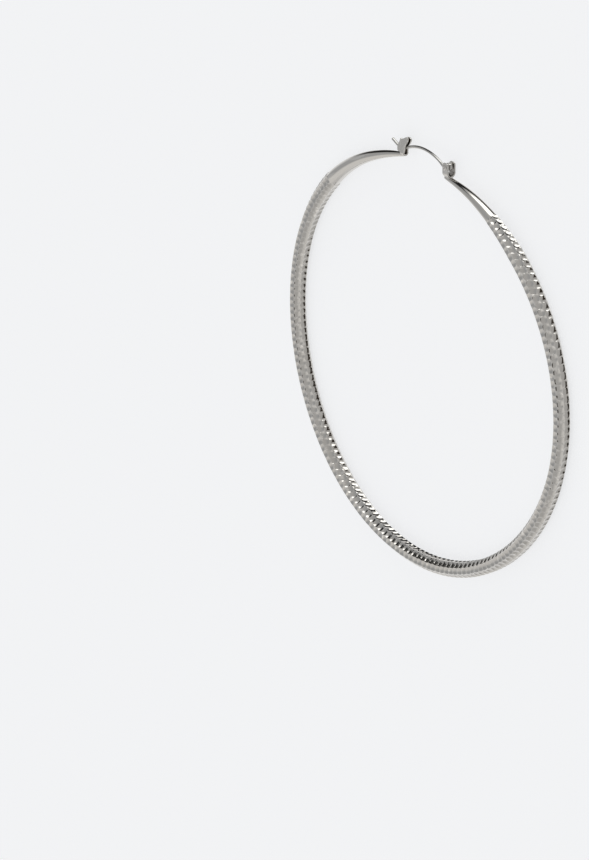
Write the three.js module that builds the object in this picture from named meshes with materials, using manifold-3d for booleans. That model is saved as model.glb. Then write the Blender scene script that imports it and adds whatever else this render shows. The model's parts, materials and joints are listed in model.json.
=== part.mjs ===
// A large hoop earring of polished metal, lying on its side.
//
// The hoop is a tube bent into an open ring. Its middle is cut all over with small flat facets, and both
// ends are smooth and taper to the gap where the ear goes. A stamped U-shaped channel is soldered on each
// end. An ear wire turns on a rivet in one channel and drops into the slot of the other.
//
// Millimetres. The hoop lies in the XY plane, +Z up, with +Y towards the gap and +X towards the hinge.
// Angles round the hoop are in degrees, from the middle of the gap towards the hinge.

import * as THREE from "three";
import { mergeVertices } from "three/addons/utils/BufferGeometryUtils.js";
import Module from "manifold-3d";

const wasm = await Module();
wasm.setup();

// The ring's centreline. It was bent by hand and swells a little at three places.
const HOOP_RADIUS = 43.3;
const OUT_OF_ROUND = 0.43;
const SWELLING_ANGLE = 79;
// Near the gap the two ends aren't in line: the catch end stands further out and the hinge end further in.
const TIP_OFFSET = 0.4;
const TIP_OFFSET_START = 22;

// The tube. Its faceted stretch has eight sides, and a facet is about as long as it is wide.
const RIDGE_RADIUS = 1.76; // to the ridges between the facets
const FACET_ROWS = 8;
const FACET_STEP = 2; // degrees of the hoop that one facet takes
const SMOOTH_RADIUS = 1.62; // what the smooth ends would grow to
const FACETS_START = 30; // the facets begin here on the hinge side
const FACETS_END = 316; // and end here on the catch side
const GAP_HALF_ANGLE = 8.8; // from the middle of the gap to either tip
const TAPER_END = 42; // from here on the tube has its full size
const TIP_SCALE = 0.25; // of the full size
const TAPER_POWER = 0.8; // under 1, so the taper is slightly full
const SMOOTH_STEPS = 12; // along each smooth end

// The ear wire.
const WIRE_RADIUS = 0.3;
const ARC_RADIUS = 12.2;
const ARC_CENTRE = new THREE.Vector2(-0.5, 33.8);
const WIRE_STEPS = 40;
const WIRE_SIDES = 10;

// The hinge: a channel with its open side out, and a rivet across it.
const RIVET = new THREE.Vector2(7.65, 44.45);
const RIVET_RADIUS = 0.32;
const RIVET_HEAD_RADIUS = 0.54;
const RIVET_HEAD_HEIGHT = 0.16;
const RUNNING_CLEARANCE = 0.04;
const SHEET = 0.34; // thickness of the channels' metal
const HINGE_GAP = 1.4; // between the two cheeks
const EYE_RADIUS = 0.8;
const EYE_THICKNESS = 0.7;

const HINGE_LEFT = RIVET.x - 0.78;
const HINGE_RIGHT = RIVET.x + 0.92;
const HINGE_FOOT = RIVET.y - 2.25;
const HINGE_TOP = RIVET.y + 0.95;
const FLOOR_HEIGHT = 0.45; // of both channels' floors

// The catch: a narrower channel that grips the wire. Its seat is the lowest point of the wire's bend.
const CATCH_GAP = 0.7;
const SEAT = new THREE.Vector2(-7.6, 44.3);
const CATCH_FOOT = SEAT.y - 1.4;

const rad = THREE.MathUtils.degToRad;
const ROUND_SEGMENTS = 20;

// Distance of the tube's centreline from the hoop's centre.
function centreRadius(angle) {
  const fromGap = Math.min(angle, 360 - angle);
  const share = Math.max((TIP_OFFSET_START - fromGap) / (TIP_OFFSET_START - GAP_HALF_ANGLE), 0);
  const offset = (angle < 180 ? -TIP_OFFSET : TIP_OFFSET) * share ** 1.5;
  return HOOP_RADIUS + OUT_OF_ROUND * Math.cos(3 * rad(angle - SWELLING_ANGLE)) + offset;
}

function centrePoint(angle) {
  const r = centreRadius(angle);
  return new THREE.Vector3(r * Math.sin(rad(angle)), r * Math.cos(rad(angle)), 0);
}

// How thick the tube is at an angle, as a share of its full size.
function tubeScale(angle) {
  const fromGap = Math.min(angle, 360 - angle);
  const grown = (fromGap - GAP_HALF_ANGLE) / (TAPER_END - GAP_HALF_ANGLE);
  const share = THREE.MathUtils.clamp(grown, 0, 1);
  return THREE.MathUtils.lerp(TIP_SCALE, 1, share ** TAPER_POWER);
}

// Distance from the tube's centre to a ridge, to the middle of a facet, or to the round of a smooth end.
function sectionRadius(angle, onRidge) {
  if (angle < FACETS_START || angle > FACETS_END) return SMOOTH_RADIUS * tubeScale(angle);
  const toRidge = RIDGE_RADIUS * tubeScale(angle);
  return onRidge ? toRidge : toRidge * Math.cos(Math.PI / FACET_ROWS);
}

// The angles of the tube's sections, from one tip round to the other.
function sectionAngles() {
  const angles = [];
  for (let i = 0; i < SMOOTH_STEPS; i++)
    angles.push(THREE.MathUtils.lerp(GAP_HALF_ANGLE, FACETS_START, i / SMOOTH_STEPS));
  for (let a = FACETS_START; a <= FACETS_END; a += FACET_STEP) angles.push(a);
  for (let i = 1; i <= SMOOTH_STEPS; i++)
    angles.push(THREE.MathUtils.lerp(FACETS_END, 360 - GAP_HALF_ANGLE, i / SMOOTH_STEPS));
  return angles;
}

// One section has a point on each ridge and one in the middle of each facet, the first of them straight
// down. In the smooth ends both lie on one circle.
function sectionPoint(angle, index) {
  const r = sectionRadius(angle, index % 2 === 1);
  const turn = (index * Math.PI) / FACET_ROWS;
  const outward = centrePoint(angle).normalize();
  return centrePoint(angle)
    .addScaledVector(outward, r * Math.sin(turn))
    .add(new THREE.Vector3(0, 0, -r * Math.cos(turn)));
}

// Closes a row of sections, each with the same number of points, into a solid with flat ends.
function loftGeometry(sections) {
  const sides = sections[0].length;
  const positions = sections.flat().flatMap((p) => [p.x, p.y, p.z]);
  const faces = [];
  for (let i = 0; i < sections.length - 1; i++)
    for (let j = 0; j < sides; j++) {
      const a = i * sides + j;
      const b = i * sides + ((j + 1) % sides);
      faces.push(a, b, a + sides, b, b + sides, a + sides);
    }
  const last = (sections.length - 1) * sides;
  for (let j = 1; j < sides - 1; j++) faces.push(0, j + 1, j, last, last + j, last + j + 1);
  return new THREE.BufferGeometry()
    .setAttribute("position", new THREE.Float32BufferAttribute(positions, 3))
    .setIndex(faces);
}

function tubeGeometry() {
  const sections = sectionAngles().map((angle) =>
    Array.from({ length: 2 * FACET_ROWS }, (_, j) => sectionPoint(angle, j)),
  );
  return loftGeometry(sections);
}

// A geometry as a manifold-3d solid.
function solid(geometry) {
  const bare = geometry.clone();
  bare.deleteAttribute("normal");
  bare.deleteAttribute("uv");
  const merged = mergeVertices(bare, 1e-4);
  return new wasm.Manifold(
    new wasm.Mesh({
      numProp: 3,
      vertProperties: merged.attributes.position.array,
      triVerts: new Uint32Array(merged.index.array),
    }),
  );
}

function geometryOf(made) {
  const mesh = made.getMesh();
  return new THREE.BufferGeometry()
    .setAttribute("position", new THREE.BufferAttribute(mesh.vertProperties, 3))
    .setIndex(new THREE.BufferAttribute(mesh.triVerts, 1))
    .toNonIndexed();
}

// A flat plate parallel to the hoop's plane, between two heights.
function plate(shape, low, high) {
  const geometry = new THREE.ExtrudeGeometry(shape, {
    depth: high - low,
    bevelEnabled: false,
    curveSegments: 8,
  });
  return solid(geometry.translate(0, 0, low));
}

// A round bar along Z.
function bar(centre, radius, low, high) {
  const geometry = new THREE.CylinderGeometry(radius, radius, high - low, ROUND_SEGMENTS);
  geometry.rotateX(Math.PI / 2).translate(centre.x, centre.y, (low + high) / 2);
  return solid(geometry);
}

// A closed outline with straight sides, its points given from a base point.
function outline(base, points) {
  return new THREE.Shape(points.map(([x, y]) => new THREE.Vector2(base.x + x, base.y + y)));
}

// The hinge's cheek: straight sides, and a head with rounded corners above the rivet.
function hingeCheek() {
  const innerCorner = 0.6;
  const outerCorner = 0.5;
  const quarter = Math.PI / 2;
  const shape = new THREE.Shape();
  shape.moveTo(HINGE_LEFT, HINGE_FOOT);
  shape.lineTo(HINGE_RIGHT, HINGE_FOOT);
  shape.absarc(HINGE_RIGHT - outerCorner, HINGE_TOP - outerCorner, outerCorner, 0, quarter, false);
  shape.absarc(HINGE_LEFT + innerCorner, HINGE_TOP - innerCorner, innerCorner, quarter, Math.PI, false);
  return shape;
}

// The floor that joins a channel's two cheeks and is soldered to the end of the tube.
function channelFloor(left, right, foot, gap) {
  const points = [[left, 0], [right, 0], [right, FLOOR_HEIGHT], [left, FLOOR_HEIGHT]];
  const reach = gap / 2 + SHEET / 2;
  return plate(outline({ x: 0, y: foot }, points), -reach, reach);
}

function hingeChannel() {
  const inner = HINGE_GAP / 2;
  return plate(hingeCheek(), -inner - SHEET, -inner)
    .add(plate(hingeCheek(), inner, inner + SHEET))
    .add(channelFloor(HINGE_LEFT, HINGE_RIGHT, HINGE_FOOT, HINGE_GAP))
    .subtract(bar(RIVET, RIVET_RADIUS + RUNNING_CLEARANCE, -2, 2));
}

// The catch's upper cheek leans over the gap, with a rounded corner there and a small pointed stop on its
// outer side. The lower cheek is shorter, with a round head.
function catchUpperCheek() {
  return outline(SEAT, [
    [-0.65, -0.45],
    [0.2, -1.1],
    [0.3, -1.4],
    [1.4, -1.4],
    [1.6, -0.2],
    [1.85, 0.8],
    [2.4, 1.6],
    [2.8, 2.4],
    [2.75, 2.9],
    [2.4, 3.05],
    [1.8, 2.7],
    [0.8, 2.15],
    [0.5, 2.45],
    [0.2, 1.75],
    [-0.55, 0.55],
  ]);
}

function catchLowerCheek() {
  return outline(SEAT, [
    [-0.65, -0.45],
    [0.2, -1.1],
    [0.3, -1.4],
    [1.1, -1.4],
    [1.35, -0.6],
    [1.5, 0.5],
    [2.2, 1.35],
    [2.55, 2.0],
    [2.5, 2.45],
    [2.1, 2.7],
    [1.2, 2.55],
    [0.2, 1.75],
    [-0.55, 0.55],
  ]);
}

function catchChannel() {
  const inner = CATCH_GAP / 2;
  return plate(catchUpperCheek(), inner, inner + SHEET)
    .add(plate(catchLowerCheek(), -inner - SHEET, -inner))
    .add(channelFloor(SEAT.x + 0.3, SEAT.x + 1.2, CATCH_FOOT, CATCH_GAP));
}

// The wire's route from its eye over the gap, down into the catch and out again as a short lift.
function wireRoute() {
  const onArc = (x) => {
    const y = ARC_CENTRE.y + Math.sqrt(ARC_RADIUS ** 2 - (x - ARC_CENTRE.x) ** 2);
    return new THREE.Vector3(x, y, 0);
  };
  const fromSeat = (x, y) => new THREE.Vector3(SEAT.x + x, SEAT.y + y, 0);
  return new THREE.CatmullRomCurve3([
    new THREE.Vector3(RIVET.x - 0.5, RIVET.y - 0.6, 0),
    new THREE.Vector3(RIVET.x - 1.3, RIVET.y - 0.55, 0),
    ...[4.7, 3, 1, -1, -3, -4.6].map(onArc),
    fromSeat(1.2, 0.25),
    fromSeat(0, 0),
    fromSeat(-1.2, 0.4),
    fromSeat(-2.9, 1.22),
  ]);
}

// The wire with its flattened eye, bored for the rivet.
function earWireGeometry() {
  const section = new THREE.Shape();
  section.absarc(0, 0, WIRE_RADIUS, 0, 2 * Math.PI, false);
  const wire = new THREE.ExtrudeGeometry(section, {
    extrudePath: wireRoute(),
    steps: WIRE_STEPS,
    curveSegments: WIRE_SIDES / 2,
    bevelEnabled: false,
  });
  const half = EYE_THICKNESS / 2;
  const eye = bar(RIVET, EYE_RADIUS, -half, half);
  const bore = bar(RIVET, RIVET_RADIUS + RUNNING_CLEARANCE, -2, 2);
  return geometryOf(solid(wire).add(eye).subtract(bore));
}

// The rivet: a plain shank with a low head on each side of the channel.
function rivetGeometry() {
  const face = HINGE_GAP / 2 + SHEET + RUNNING_CLEARANCE;
  const top = face + RIVET_HEAD_HEIGHT;
  const profile = [
    [0, -top],
    [RIVET_HEAD_RADIUS * 0.7, -top],
    [RIVET_HEAD_RADIUS, -face],
    [RIVET_RADIUS, -face],
    [RIVET_RADIUS, face],
    [RIVET_HEAD_RADIUS, face],
    [RIVET_HEAD_RADIUS * 0.7, top],
    [0, top],
  ].map(([x, y]) => new THREE.Vector2(x, y));
  return new THREE.LatheGeometry(profile, ROUND_SEGMENTS)
    .rotateX(Math.PI / 2)
    .translate(RIVET.x, RIVET.y, 0);
}

function metal(color, roughness) {
  return new THREE.MeshStandardMaterial({ color, roughness, metalness: 1 });
}

function named(name, geometry, material) {
  const mesh = new THREE.Mesh(geometry, material);
  mesh.name = name;
  return mesh;
}

const hoopGeometry = geometryOf(solid(tubeGeometry()).add(hingeChannel()).add(catchChannel()));
const assembly = new THREE.Group();
assembly.add(
  named("hoop", hoopGeometry, metal(0xd6d5d2, 0.16)),
  named("ear_wire", earWireGeometry(), metal(0xcfcfcd, 0.2)),
  named("hinge_pin", rivetGeometry(), metal(0xc9c9c6, 0.25)),
);

// The origin is under the middle of the whole earring, on the surface that it lies on.
const box = new THREE.Box3().setFromObject(assembly);
const middle = box.getCenter(new THREE.Vector3());
assembly.position.set(-middle.x, -middle.y, -box.min.z);

const earring = new THREE.Group();
earring.name = "hoop_earring";
earring.add(assembly);

export default earring;
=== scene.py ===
import json
from math import cos, pi, radians, sin
from random import Random

import bpy
from mathutils import Matrix, Vector

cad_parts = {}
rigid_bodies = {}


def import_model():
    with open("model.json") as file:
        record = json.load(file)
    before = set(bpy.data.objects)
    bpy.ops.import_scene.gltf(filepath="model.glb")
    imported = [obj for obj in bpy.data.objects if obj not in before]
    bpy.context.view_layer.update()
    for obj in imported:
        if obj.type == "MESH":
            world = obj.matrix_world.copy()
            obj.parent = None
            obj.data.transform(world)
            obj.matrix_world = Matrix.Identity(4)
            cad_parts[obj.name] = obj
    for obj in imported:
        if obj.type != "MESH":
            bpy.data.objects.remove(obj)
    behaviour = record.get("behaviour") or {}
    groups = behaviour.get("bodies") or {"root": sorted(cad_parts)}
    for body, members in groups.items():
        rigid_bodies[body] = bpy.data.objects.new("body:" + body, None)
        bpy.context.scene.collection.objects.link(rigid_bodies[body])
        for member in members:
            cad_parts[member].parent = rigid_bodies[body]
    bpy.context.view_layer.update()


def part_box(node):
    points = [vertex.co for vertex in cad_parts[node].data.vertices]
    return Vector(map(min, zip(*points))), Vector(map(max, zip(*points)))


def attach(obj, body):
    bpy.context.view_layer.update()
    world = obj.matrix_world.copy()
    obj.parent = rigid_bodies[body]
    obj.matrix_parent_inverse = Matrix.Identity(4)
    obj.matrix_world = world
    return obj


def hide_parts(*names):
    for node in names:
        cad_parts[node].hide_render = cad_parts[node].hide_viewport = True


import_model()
bpy.ops.object.select_all(action="DESELECT")


# Camera. A long lens about a metre away, turned so that the gap of the lying hoop is at the top of the
# picture and the far side of the ring at the left.
bpy.ops.object.camera_add(location=(0.75426, 0.37512, 0.59487))
camera = bpy.context.object
camera.name = "camera"
camera.rotation_euler = [radians(a) for a in (-22.798, 53.214, -0.814)]
camera.data.lens = 212.2
camera.data.clip_end = 20
bpy.context.scene.camera = camera
bpy.context.scene.view_settings.view_transform = "Standard"


# Hoop tube. A bent tube of polished white metal, tapered and smooth at both tips. Between them a spinning
# diamond tool has scooped eight rows of small facets, each row half a step ahead of the next.
mm = 0.001
pin_low, pin_high = (Vector(corner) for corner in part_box("hinge_pin"))
rivet = (pin_low + pin_high) / 2
ring_centre = rivet - Vector((7.65, 44.45, 0)) * mm
ring_radius = 43.3 * mm
swelling = 0.43 * mm  # the ring is bent by hand and swells at three places
swelling_angle = 79  # angles are in degrees, clockwise from the middle of the gap
ridge_radius = 1.76 * mm
smooth_radius = 1.62 * mm  # what the smooth ends would grow to
tip_angle = 8.8
tip_offset = 0.4 * mm  # near the gap the catch end stands out by this, and the hinge end in
tip_offset_start = 22
taper_end = 42  # from here on the tube has its full size
tip_scale = 0.25  # of the full size
taper_power = 0.8
facets_start = 30  # on the hinge side
facets_end = 316  # on the catch side
rows = 8
steps = 144
steps_at_once = 12  # this many are cut once and then repeated
step_length = ring_radius * radians(facets_end - facets_start) / steps
cell_length = steps_at_once * step_length
tool_radius = 1.15 * mm
tool_depth = 0.5 * mm
scoop_depth = 0.14 * mm
scoop_tilt = radians(5)
tool_wander = radians(2.5)
tool_segments = 16
tool_rings = 10


def apply_modifiers(piece):
    for modifier in list(piece.modifiers):
        bpy.ops.object.modifier_apply(modifier=modifier.name)


def select_only(piece):
    bpy.ops.object.select_all(action="DESELECT")
    bpy.context.view_layer.objects.active = piece
    piece.select_set(True)


def select_points(piece, wanted):
    """Opens a piece with the vertices selected whose place passes a test, and no others."""
    mesh = piece.data
    for part in (mesh.vertices, mesh.edges, mesh.polygons):
        part.foreach_set("select", [False] * len(part))
    for vertex in mesh.vertices:
        vertex.select = bool(wanted(vertex.co))
    bpy.ops.object.mode_set(mode="EDIT")
    bpy.ops.mesh.select_mode(type="VERT")


def leave_edit():
    bpy.ops.object.mode_set(mode="OBJECT")


# The tool is a flattened ball. It dips a little deeper on its leading side, and no two dips are alike.
bpy.ops.mesh.primitive_uv_sphere_add(
    segments=tool_segments, ring_count=tool_rings, radius=tool_radius
)
tool = bpy.context.object
bpy.ops.transform.resize(value=(1, 1, tool_depth / tool_radius))
bpy.ops.object.transform_apply(location=True, rotation=True, scale=True)
flat_radius = ridge_radius * cos(pi / rows)
scoops = bpy.data.collections.new("scoops")
bpy.context.scene.collection.children.link(scoops)
for row in range(rows):
    for step in range(-1, steps_at_once + 2):
        chance = Random(rows * (step % steps_at_once) + row)
        place = Matrix.Rotation(2 * pi * row / rows, 4, "X")
        place @= Matrix.Translation((
            (step + 0.5 * (row % 2)) * step_length,
            0,
            flat_radius + tool_depth - scoop_depth,
        ))
        place @= Matrix.Rotation(scoop_tilt + chance.uniform(-1, 1) * tool_wander, 4, "Y")
        place @= Matrix.Rotation(chance.uniform(-1, 1) * tool_wander, 4, "X")
        dip = tool.copy()
        dip.data = tool.data.copy()
        dip.data.transform(place)
        scoops.objects.link(dip)
bpy.data.objects.remove(tool)

bpy.ops.mesh.primitive_cylinder_add(
    vertices=rows, radius=ridge_radius, depth=cell_length + 3 * step_length,
    location=(cell_length / 2, 0, 0), rotation=(pi / 2, pi / rows, pi / 2),
)
tube = bpy.context.object
tube.name = "hoop_tube"
bpy.ops.object.transform_apply(location=True, rotation=True, scale=True)
cut = tube.modifiers.new("scoops", "BOOLEAN")
cut.operand_type = "COLLECTION"
cut.collection = scoops
cut.solver = "EXACT"
apply_modifiers(tube)
for dip in list(scoops.objects):
    bpy.data.objects.remove(dip)
bpy.data.collections.remove(scoops)

# Both ends are trimmed, and the stretch is repeated along the tube.
bpy.ops.object.mode_set(mode="EDIT")
for end, outward in ((0, -1), (cell_length, 1)):
    bpy.ops.mesh.select_all(action="SELECT")
    bpy.ops.mesh.bisect(
        plane_co=(end, 0, 0), plane_no=(outward, 0, 0), clear_outer=True, threshold=0.0001 * mm
    )
leave_edit()
array = tube.modifiers.new("steps", "ARRAY")
array.count = steps // steps_at_once
array.use_relative_offset = False
array.use_constant_offset = True
array.constant_offset_displace = (cell_length, 0, 0)
array.use_merge_vertices = True
array.merge_threshold = 0.002 * mm
apply_modifiers(tube)
cut_start = ring_radius * radians(facets_start - tip_angle)
tube.data.transform(Matrix.Translation((cut_start, 0, 0)))
cut_end = cut_start + steps * step_length
full_length = ring_radius * radians(360 - 2 * tip_angle)
smooth_sections = 24
round_off = 0.2 * mm  # the faceted end turns round within this length
tip_steps = ((0.1, 0.97), (0.1, 0.9), (0.08, 0.8), (0.05, 0.65), (0.02, 0.6))  # advance in mm, narrowing


def first_selected(piece):
    piece.update_from_editmode()
    return next(vertex.co.copy() for vertex in piece.data.vertices if vertex.select)


def draw_out(piece, start, end):
    """Draws the open end of the tube out from one place to another, round in section, and closes it."""
    select_points(piece, lambda p: abs(p.x - start) < 0.001 * mm)
    way = 1 if end > start else -1
    reach = abs(end - start)
    bpy.ops.mesh.extrude_edges_move(TRANSFORM_OT_translate={"value": (way * round_off, 0, 0)})
    bpy.ops.transform.tosphere(value=1)
    rounder = smooth_radius / first_selected(piece).yz.length
    bpy.ops.transform.resize(value=(1, rounder, rounder))
    tip_length = sum(advance for advance, _ in tip_steps) * mm
    section_length = (reach - round_off - tip_length) / smooth_sections
    for _ in range(smooth_sections):
        bpy.ops.mesh.extrude_edges_move(TRANSFORM_OT_translate={"value": (way * section_length, 0, 0)})
    for advance, narrower in tip_steps:
        bpy.ops.mesh.extrude_edges_move(TRANSFORM_OT_translate={"value": (way * advance * mm, 0, 0)})
        bpy.ops.transform.resize(value=(1, narrower, narrower))
    bpy.ops.mesh.edge_face_add()
    leave_edit()


draw_out(tube, cut_start, 0)
draw_out(tube, cut_end, full_length)


# The tube is bent round the ring and thinned towards the tips.
def ring_point(angle):
    from_gap = min(angle, 360 - angle)
    share = max((tip_offset_start - from_gap) / (tip_offset_start - tip_angle), 0)
    offset = (tip_offset if angle > 180 else -tip_offset) * share ** 1.5
    r = ring_radius + swelling * cos(3 * radians(angle - swelling_angle)) + offset
    return ring_centre + Vector((r * sin(radians(angle)), r * cos(radians(angle)), 0))


def tube_scale(angle):
    from_gap = min(angle, 360 - angle)
    share = min(max((from_gap - tip_angle) / (taper_end - tip_angle), 0), 1)
    return tip_scale + (1 - tip_scale) * share ** taper_power


bpy.ops.curve.primitive_bezier_curve_add()
bend = bpy.context.object
bend.data.splines.clear()
route = bend.data.splines.new("POLY")
bend_points = 344
route.points.add(bend_points - 1)
for i, point in enumerate(route.points):
    angle = tip_angle + (360 - 2 * tip_angle) * i / (bend_points - 1)
    point.co = (*ring_point(angle), 1)
    point.radius = tube_scale(angle)
bend.data.twist_mode = "Z_UP"
bend.data.use_stretch = True
bend.data.use_deform_bounds = True

select_only(tube)
curve_bend = tube.modifiers.new("bend", "CURVE")
curve_bend.object = bend
apply_modifiers(tube)
bpy.data.objects.remove(bend)
bpy.ops.object.mode_set(mode="EDIT")
bpy.ops.mesh.select_all(action="SELECT")
bpy.ops.mesh.normals_make_consistent(inside=False)
leave_edit()
bpy.ops.object.shade_smooth_by_angle(angle=radians(25))


def polished_metal(name, color, roughness, grain, scratches):
    """A plated metal, polished by hand: cloudy polish, fine scratches, painted highlight on the ridges,
    painted shade in the hollows.
    """
    material = bpy.data.materials.new(name)
    material.use_nodes = True
    nodes = material.node_tree.nodes
    wires = material.node_tree.links
    shader = nodes["Principled BSDF"]
    shader.inputs["Metallic"].default_value = 1
    place = nodes.new("ShaderNodeTexCoord").outputs["Object"]

    clouds = nodes.new("ShaderNodeTexNoise")
    clouds.inputs["Scale"].default_value = grain
    clouds.inputs["Detail"].default_value = 4
    wires.new(place, clouds.inputs["Vector"])
    polish = nodes.new("ShaderNodeMapRange")
    polish.inputs["From Min"].default_value = 0.3
    polish.inputs["From Max"].default_value = 0.7
    polish.inputs["To Min"].default_value = roughness * 0.7
    polish.inputs["To Max"].default_value = roughness * 1.5
    wires.new(clouds.outputs["Fac"], polish.inputs["Value"])
    wires.new(polish.outputs["Result"], shader.inputs["Roughness"])

    # Painted highlight and shade: Pointiness makes the base colour brighter on the ridges and darker in the
    # hollows.
    edges = nodes.new("ShaderNodeNewGeometry").outputs["Pointiness"]
    ridge_highlight_hollow_shade = nodes.new("ShaderNodeMapRange")
    ridge_highlight_hollow_shade.inputs["From Min"].default_value = 0.42
    ridge_highlight_hollow_shade.inputs["From Max"].default_value = 0.56
    wires.new(edges, ridge_highlight_hollow_shade.inputs["Value"])
    tone = nodes.new("ShaderNodeMix")
    tone.data_type = "RGBA"
    hollow, ridge = 0.62, 1.12  # how much darker and brighter these are
    tone.inputs[6].default_value = (*[c * hollow for c in color], 1)
    tone.inputs[7].default_value = (*[min(c * ridge, 1) for c in color], 1)
    wires.new(ridge_highlight_hollow_shade.outputs["Result"], tone.inputs["Factor"])
    stain = nodes.new("ShaderNodeTexNoise")
    stain.inputs["Scale"].default_value = 90
    stain.inputs["Detail"].default_value = 3
    wires.new(place, stain.inputs["Vector"])
    warmth = nodes.new("ShaderNodeMix")
    warmth.data_type = "RGBA"
    warmth.inputs[6].default_value = (1, 1, 1, 1)
    warmth.inputs[7].default_value = (0.97, 0.94, 0.9, 1)
    wires.new(stain.outputs["Fac"], warmth.inputs["Factor"])
    tint = nodes.new("ShaderNodeMix")
    tint.data_type = "RGBA"
    tint.blend_type = "MULTIPLY"
    tint.inputs["Factor"].default_value = 1
    wires.new(tone.outputs[2], tint.inputs[6])
    wires.new(warmth.outputs[2], tint.inputs[7])

    # Painted shade: the base colour turns brown-black in the narrow places where ambient occlusion finds
    # the piece's own walls close.
    shelter = nodes.new("ShaderNodeAmbientOcclusion")
    shelter.only_local = True
    shelter.inputs["Distance"].default_value = 2 * mm
    depth = nodes.new("ShaderNodeMapRange")
    depth.inputs["From Min"].default_value = 0.3
    depth.inputs["From Max"].default_value = 0.75
    wires.new(shelter.outputs["AO"], depth.inputs["Value"])
    occlusion_shade = nodes.new("ShaderNodeMix")
    occlusion_shade.data_type = "RGBA"
    # This brown-black is painted shade for the occluded places.
    occlusion_shade.inputs[6].default_value = (0.1, 0.07, 0.05, 1)
    wires.new(depth.outputs["Result"], occlusion_shade.inputs["Factor"])
    wires.new(tint.outputs[2], occlusion_shade.inputs[7])
    wires.new(occlusion_shade.outputs[2], shader.inputs["Base Color"])

    marks = nodes.new("ShaderNodeTexNoise")
    marks.inputs["Scale"].default_value = 9 * grain
    marks.inputs["Detail"].default_value = 2
    wires.new(place, marks.inputs["Vector"])
    bump = nodes.new("ShaderNodeBump")
    bump.inputs["Strength"].default_value = scratches
    bump.inputs["Distance"].default_value = 0.01 * mm
    wires.new(marks.outputs["Fac"], bump.inputs["Height"])
    wires.new(bump.outputs["Normal"], shader.inputs["Normal"])
    return material


tube.data.materials.append(polished_metal("cut_metal", (0.80, 0.79, 0.775), 0.09, 350, 0.3))
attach(tube, "hoop_body")
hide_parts("hoop")


# Hinge channel. One strip of sheet metal folded into a U, with its open side away from the hoop and its
# back soldered on the tube's tip. The eye of the ear wire turns between its two cheeks.
sheet = 0.34 * mm
hinge_left = rivet.x - 0.78 * mm
hinge_right = rivet.x + 0.92 * mm
hinge_top = rivet.y + 0.95 * mm
hinge_bend = rivet + Vector((0, -1.2, 0)) * mm
hinge_bend_radius = 0.87 * mm  # to the middle of the sheet
bore_radius = 0.36 * mm
flat_area = 0.6 * mm ** 2  # faces larger than this are the flats of a cheek


def bar_along_z(centre, radius, length, name="bar"):
    bpy.ops.object.select_all(action="DESELECT")
    bpy.ops.mesh.primitive_cylinder_add(vertices=40, radius=radius, depth=length, location=centre)
    bpy.ops.object.transform_apply(location=True, rotation=True, scale=True)
    bpy.context.object.name = name
    return bpy.context.object


def combine(piece, other, operation):
    """Adds another solid to a piece or takes it away, and uses the other one up."""
    select_only(piece)
    step = piece.modifiers.new("combine", "BOOLEAN")
    step.operation = operation
    step.object = other
    step.solver = "EXACT"
    apply_modifiers(piece)
    bpy.data.objects.remove(other)


def solder_bead(piece, centre, reach):
    """A drop of solder that has run round the foot of a channel."""
    bpy.ops.object.select_all(action="DESELECT")
    bpy.ops.mesh.primitive_uv_sphere_add(segments=32, ring_count=16, radius=1, location=centre)
    bpy.ops.transform.resize(value=reach, center_override=centre)
    bpy.ops.object.transform_apply(location=True, rotation=True, scale=True)
    combine(piece, bpy.context.object, "UNION")


def give_thickness(piece, rim):
    """Makes a folded sheet solid, with its rim slightly rounded."""
    select_only(piece)
    bpy.ops.object.mode_set(mode="EDIT")
    bpy.ops.mesh.select_all(action="SELECT")
    bpy.ops.mesh.remove_doubles(threshold=0.001 * mm)
    bpy.ops.mesh.normals_make_consistent(inside=False)
    leave_edit()
    wall = piece.modifiers.new("wall", "SOLIDIFY")
    wall.thickness = sheet
    wall.offset = 0
    wall.use_even_offset = True
    round_rim = piece.modifiers.new("rim", "BEVEL")
    round_rim.width = rim
    round_rim.segments = 3
    round_rim.angle_limit = radians(50)
    apply_modifiers(piece)


def shade_evenly(piece):
    """Smooth shading that leaves the big flat faces flat."""
    bpy.ops.object.shade_smooth_by_angle(angle=radians(35))
    for face in piece.data.polygons:
        if face.area > flat_area:
            face.use_smooth = False


bpy.ops.object.select_all(action="DESELECT")
cheek_middle = (
    (hinge_left + hinge_right) / 2, (hinge_bend.y + hinge_top) / 2, rivet.z + hinge_bend_radius
)
bpy.ops.mesh.primitive_plane_add(size=1, location=cheek_middle)
hinge = bpy.context.object
hinge.name = "hinge_channel"
cheek_size = (hinge_right - hinge_left, hinge_top - hinge_bend.y, 1)
bpy.ops.transform.resize(value=cheek_size, center_override=cheek_middle)
bpy.ops.object.transform_apply(location=True, rotation=True, scale=True)
select_points(hinge, lambda p: p.y < hinge_bend.y + 0.01 * mm)
bpy.ops.mesh.spin(steps=14, angle=pi, center=hinge_bend, axis=(-1, 0, 0))
bpy.ops.mesh.extrude_edges_move(TRANSFORM_OT_translate={"value": (0, hinge_top - hinge_bend.y, 0)})
leave_edit()
for side, corner in ((-1, 0.6 * mm), (1, 0.5 * mm)):
    select_points(hinge, lambda p: p.y > hinge_top - 0.01 * mm and side * (p.x - rivet.x) > 0)
    bpy.ops.mesh.bevel(offset=corner, segments=8, affect="VERTICES")
    leave_edit()
give_thickness(hinge, 0.06 * mm)
solder_bead(hinge, rivet + Vector((0, -2.2, 0)) * mm, (0.9 * mm, 0.28 * mm, 0.5 * mm))
combine(hinge, bar_along_z(rivet, bore_radius, 4 * mm), "DIFFERENCE")
shade_evenly(hinge)
channel_metal = polished_metal("channel_metal", (0.74, 0.735, 0.725), 0.16, 900, 0.5)
hinge.data.materials.append(channel_metal)
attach(hinge, "hoop_body")


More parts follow.
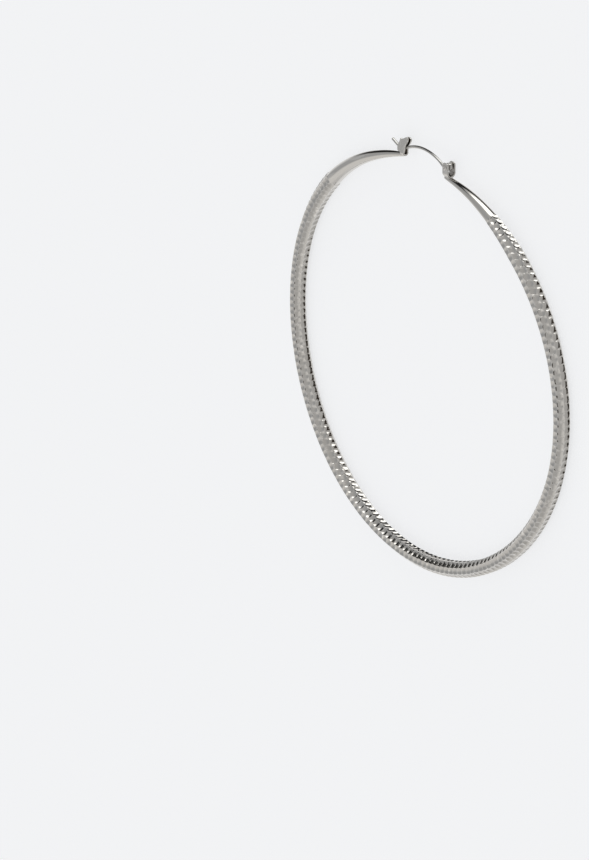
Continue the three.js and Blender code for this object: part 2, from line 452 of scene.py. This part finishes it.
# Catch. A narrower channel folded from a stamped blank. Its front cheek leans over the gap and has a small
# pointed stop on its outer side; the back cheek is shorter, with a round head. The wire snaps between them.
seat = ring_centre + Vector((-7.6, 44.3, 0)) * mm
catch_bend_radius = 0.52 * mm
catch_bend = seat + Vector((0, -0.71, 0)) * mm
front_cheek = (
    ((-0.25, -0.62), (1.5, -0.6)),
    ((-0.6, -0.38), (1.6, -0.2)),
    ((-0.55, 0.55), (1.85, 0.8)),
    ((0.2, 1.75), (2.4, 1.6)),
    ((0.8, 2.15), (2.8, 2.4)),
    ((1.6, 2.6), (2.75, 2.85)),
    ((2.0, 2.85), (2.4, 3.0)),
)
back_cheek = (
    ((-0.25, -0.62), (1.35, -0.6)),
    ((-0.6, -0.38), (1.38, -0.3)),
    ((-0.55, 0.55), (1.5, 0.5)),
    ((-0.1, 1.25), (2.2, 1.35)),
    ((0.2, 1.75), (2.55, 2.0)),
    ((0.9, 2.35), (2.5, 2.4)),
    ((1.4, 2.6), (2.1, 2.67)),
)
stop_foot = ((0.2, 1.75), (0.8, 2.15))
stop_point = (0.5, 2.45)


def in_cheek(point, height):
    return seat + Vector((*point, 0)) * mm + Vector((0, 0, height))


def draw_cheek(piece, sections, height):
    """Draws the selected edge of the blank on through sections, each given by its left and right end."""
    for ends in sections:
        bpy.ops.object.mode_set(mode="EDIT")
        bpy.ops.mesh.extrude_edges_move()
        leave_edit()
        selected = sorted((v for v in piece.data.vertices if v.select), key=lambda v: v.co.x)
        for vertex, end in zip(selected, ends):
            vertex.co = in_cheek(end, height)


bpy.ops.object.select_all(action="DESELECT")
cheek_foot = seat + Vector((0.82, -0.68, 0)) * mm + Vector((0, 0, catch_bend_radius))
bpy.ops.mesh.primitive_plane_add(size=1, location=cheek_foot)
catch = bpy.context.object
catch.name = "catch"
bpy.ops.transform.resize(value=(1.16 * mm, 0.06 * mm, 1), center_override=cheek_foot)
bpy.ops.object.transform_apply(location=True, rotation=True, scale=True)
select_points(catch, lambda p: p.y > cheek_foot.y)
leave_edit()
draw_cheek(catch, front_cheek, catch_bend_radius)
stop_ends = [in_cheek(end, catch_bend_radius) for end in stop_foot]
select_points(catch, lambda p: min((p - end).length for end in stop_ends) < 0.01 * mm)
bpy.ops.mesh.extrude_edges_move()
bpy.ops.mesh.merge(type="CENTER")
leave_edit()
for vertex in catch.data.vertices:
    if vertex.select:
        vertex.co = in_cheek(stop_point, catch_bend_radius)
select_points(catch, lambda p: p.y < catch_bend.y + 0.01 * mm)
bpy.ops.mesh.spin(steps=12, angle=pi, center=catch_bend, axis=(-1, 0, 0))
leave_edit()
draw_cheek(catch, back_cheek, -catch_bend_radius)
select_points(catch, lambda p: True)
bpy.ops.mesh.dissolve_limited(angle_limit=radians(0.5))
leave_edit()
for inset, low_end, high_end in ((0.3 * mm, 1.5, 4), (0.12 * mm, -0.5, 1.4)):
    select_points(catch, lambda p: low_end * mm < p.y - seat.y < high_end * mm)
    bpy.ops.mesh.bevel(offset=inset, segments=4, affect="VERTICES", clamp_overlap=True)
    leave_edit()
give_thickness(catch, 0.05 * mm)
solder_bead(catch, seat + Vector((0.6, -1.25, 0)) * mm, (0.7 * mm, 0.3 * mm, 0.5 * mm))
shade_evenly(catch)
catch.data.materials.append(channel_metal)
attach(catch, "hoop_body")


# Ear wire. Drawn round wire, bent over the gap. One end is flattened to an eye that turns on the rivet, and
# the other dips through the catch and turns up as a short lift for the fingernail.
wire_radius = 0.3 * mm
eye_radius = 0.8 * mm
eye_thickness = 0.7 * mm
arc_radius = 12.2 * mm
arc_centre = ring_centre + Vector((-0.5, 33.8, 0)) * mm


def on_arc(x):
    across = ring_centre.x + x * mm - arc_centre.x
    return arc_centre + Vector((across, (arc_radius ** 2 - across ** 2) ** 0.5, 0))


wire_route = [
    rivet + Vector((-0.5, -0.6, 0)) * mm,
    rivet + Vector((-1.3, -0.55, 0)) * mm,
    *[on_arc(x) for x in (4.7, 3, 1, -1, -3, -4.6)],
    seat + Vector((1.2, 0.25, 0)) * mm,
    seat,
    seat + Vector((-1.2, 0.4, 0)) * mm,
    seat + Vector((-2.9, 1.22, 0)) * mm,
]
bpy.ops.object.select_all(action="DESELECT")
bpy.ops.curve.primitive_bezier_curve_add()
wire = bpy.context.object
wire.name = "ear_wire_drawn"
wire.data.splines.clear()
bent = wire.data.splines.new("BEZIER")
bent.bezier_points.add(len(wire_route) - 1)
for knot, point in zip(bent.bezier_points, wire_route):
    knot.co = point
    knot.handle_left_type = "AUTO"
    knot.handle_right_type = "AUTO"
bent.resolution_u = 10
wire.data.bevel_depth = wire_radius
wire.data.bevel_resolution = 6
wire.data.use_fill_caps = True
bpy.ops.object.convert(target="MESH")
bpy.ops.object.mode_set(mode="EDIT")
bpy.ops.mesh.select_all(action="SELECT")
bpy.ops.mesh.remove_doubles(threshold=0.001 * mm)
bpy.ops.mesh.normals_make_consistent(inside=False)
leave_edit()
round_end = wire.modifiers.new("end", "BEVEL")
round_end.width = 0.12 * mm
round_end.segments = 3
round_end.angle_limit = radians(60)
apply_modifiers(wire)

eye = bar_along_z(rivet, eye_radius, eye_thickness)
combine(eye, bar_along_z(rivet, bore_radius, 4 * mm), "DIFFERENCE")
round_eye = eye.modifiers.new("rim", "BEVEL")
round_eye.width = 0.1 * mm
round_eye.segments = 4
round_eye.angle_limit = radians(60)
apply_modifiers(eye)
combine(wire, eye, "UNION")
combine(wire, bar_along_z(rivet, bore_radius, 4 * mm), "DIFFERENCE")
bpy.ops.object.shade_smooth_by_angle(angle=radians(35))
wire.data.materials.append(polished_metal("wire_metal", (0.62, 0.62, 0.612), 0.14, 700, 0.4))
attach(wire, "wire_body")
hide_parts("ear_wire")


# Rivet. A soft pin through both cheeks and the eye. Its ends are hammered into low domed heads, and the
# punch has left a small pit in each.
shank_radius = 0.32 * mm
shank_half = 1.08 * mm
head_radius = 0.54 * mm
head_steps = ((1, 0.05), (0.94, 0.05), (0.8, 0.04), (0.6, 0.02))  # share of the radius, rise in mm
pit_steps = ((0.14, 0), (0.05, 0.05), (0.06, 0.03))  # inset and depth in mm
pin = bar_along_z(rivet, shank_radius, 2 * shank_half, "rivet")
for end in (-1, 1):
    face_z = rivet.z + end * shank_half
    select_points(pin, lambda p: abs(p.z - face_z) < 0.01 * mm)
    centre = (rivet.x, rivet.y, face_z)
    width = shank_radius
    bpy.ops.mesh.extrude_region_move()
    bpy.ops.transform.resize(value=(head_radius / width,) * 2 + (1,), center_override=centre)
    width = head_radius
    for share, rise in head_steps:
        bpy.ops.mesh.extrude_region_move(TRANSFORM_OT_translate={"value": (0, 0, end * rise * mm)})
        narrower = share * head_radius / width
        bpy.ops.transform.resize(value=(narrower, narrower, 1), center_override=centre)
        width = share * head_radius
    for inset, depth in pit_steps:
        bpy.ops.mesh.inset(thickness=inset * mm, depth=-depth * mm)
    leave_edit()
bpy.ops.object.mode_set(mode="EDIT")
bpy.ops.mesh.select_all(action="SELECT")
bpy.ops.mesh.remove_doubles(threshold=0.001 * mm)
bpy.ops.mesh.normals_make_consistent(inside=False)
leave_edit()
bpy.ops.object.shade_smooth_by_angle(angle=radians(40))
pin.data.materials.append(polished_metal("rivet_metal", (0.70, 0.69, 0.68), 0.2, 1500, 0.6))
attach(pin, "hoop_body")
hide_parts("hinge_pin")


# Floor. A plain pale sheet that glows a little itself, as a lit light table does, so shadows stay faint.
bpy.ops.mesh.primitive_plane_add(size=6, location=(0, 0, 0))
floor = bpy.context.object
floor.name = "floor"
floor_paint = bpy.data.materials.new("floor_paint")
floor_paint.use_nodes = True
paint = floor_paint.node_tree.nodes["Principled BSDF"]
paint.inputs["Base Color"].default_value = (0.40, 0.404, 0.412, 1)
paint.inputs["Roughness"].default_value = 1
paint.inputs["Specular IOR Level"].default_value = 0
paint.inputs["Emission Color"].default_value = (0.879, 0.888, 0.905, 1)
paint.inputs["Emission Strength"].default_value = 0.772
floor.data.materials.append(floor_paint)
floor.visible_glossy = False


# Light. A light tent: even pale walls, a long softbox over the gap side with the tent's dark opening
# behind it, and the dark frame of the window on the right that it is looked at through.
world = bpy.data.worlds.new("light_tent")
bpy.context.scene.world = world
world.use_nodes = True
tent = world.node_tree
for node in list(tent.nodes):
    tent.nodes.remove(node)


def tent_node(kind, **settings):
    node = tent.nodes.new(kind)
    for name, value in settings.items():
        setattr(node, name, value)
    return node


def link(source, target):
    tent.links.new(source, target)


# Directions in the tent: to the right, up, and towards the viewer.
look = tent_node("ShaderNodeTexCoord")
side = (0.59877, -0.00851, -0.80087)
above = (-0.29719, 0.92619, -0.23204)
front = (0.74374, 0.37695, 0.55205)


def along(axis):
    dot = tent_node("ShaderNodeVectorMath", operation="DOT_PRODUCT")
    link(look.outputs["Generated"], dot.inputs[0])
    dot.inputs[1].default_value = axis
    return dot.outputs["Value"]


def ramp(value, low, high):
    """0 below low, 1 above high, smooth between; the other way round if low is above high."""
    node = tent_node("ShaderNodeMapRange", interpolation_type="SMOOTHSTEP")
    flip = low > high
    link(value, node.inputs["Value"])
    node.inputs["From Min"].default_value = min(low, high)
    node.inputs["From Max"].default_value = max(low, high)
    node.inputs["To Min"].default_value = 1 if flip else 0
    node.inputs["To Max"].default_value = 0 if flip else 1
    return node.outputs["Result"]


def product(*values):
    result = values[0]
    for value in values[1:]:
        node = tent_node("ShaderNodeMath", operation="MULTIPLY")
        link(result, node.inputs[0])
        link(value, node.inputs[1])
        result = node.outputs[0]
    return result


def paint_patch(below, mask, color):
    node = tent_node("ShaderNodeMix", data_type="RGBA")
    link(mask, node.inputs["Factor"])
    link(below, node.inputs[6])
    node.inputs[7].default_value = (*color, 1)
    return node.outputs[2]


x, y, z = along(side), along(above), along(front)
tilted = along(tuple(Vector(front) + 0.35 * Vector(side)))
wall = tent_node("ShaderNodeRGB")
wall.outputs[0].default_value = (0.50, 0.495, 0.485, 1)
light = wall.outputs[0]

# Each patch of the tent has soft edges, given as where it starts and where it is full.
far_wall = ramp(z, -0.2, -0.8)
light = paint_patch(light, far_wall, (0.85, 0.85, 0.85))
left_wall = ramp(x, -0.3, -0.9)
light = paint_patch(light, left_wall, (0.40, 0.405, 0.41))
low_left_corner = product(ramp(x, -0.2, -0.5), ramp(y, -0.1, -0.5))
light = paint_patch(light, low_left_corner, (0.72, 0.71, 0.69))
softbox = product(ramp(y, 0.68, 0.82), ramp(tilted, -0.02, 0.08), ramp(tilted, 0.55, 0.4))
light = paint_patch(light, softbox, (1.9, 1.9, 1.85))
opening_black = (0.015, 0.015, 0.015)
opening = product(ramp(y, 0.42, 0.6), ramp(tilted, -0.04, -0.12), ramp(tilted, -0.55, -0.42))
light = paint_patch(light, opening, opening_black)
opening_left = product(ramp(x, 0, -0.12), ramp(y, 0.38, 0.55), ramp(z, -0.2, -0.35))
light = paint_patch(light, opening_left, opening_black)
window_frame = product(
    ramp(x, 0.18, 0.28), ramp(x, 0.88, 0.78),
    ramp(y, -0.8, -0.65), ramp(y, 0.6, 0.45),
    ramp(z, 0.02, 0.17),
)
light = paint_patch(light, window_frame, (0.03, 0.022, 0.016))
window = product(
    ramp(x, 0.45, 0.5), ramp(x, 0.63, 0.58),
    ramp(y, -0.5, -0.4), ramp(y, 0.3, 0.2),
    ramp(z, 0.2, 0.35),
)
light = paint_patch(light, window, (0.55, 0.54, 0.52))
background = tent_node("ShaderNodeBackground")
link(light, background.inputs["Color"])
output = tent_node("ShaderNodeOutputWorld")
link(background.outputs[0], output.inputs["Surface"])
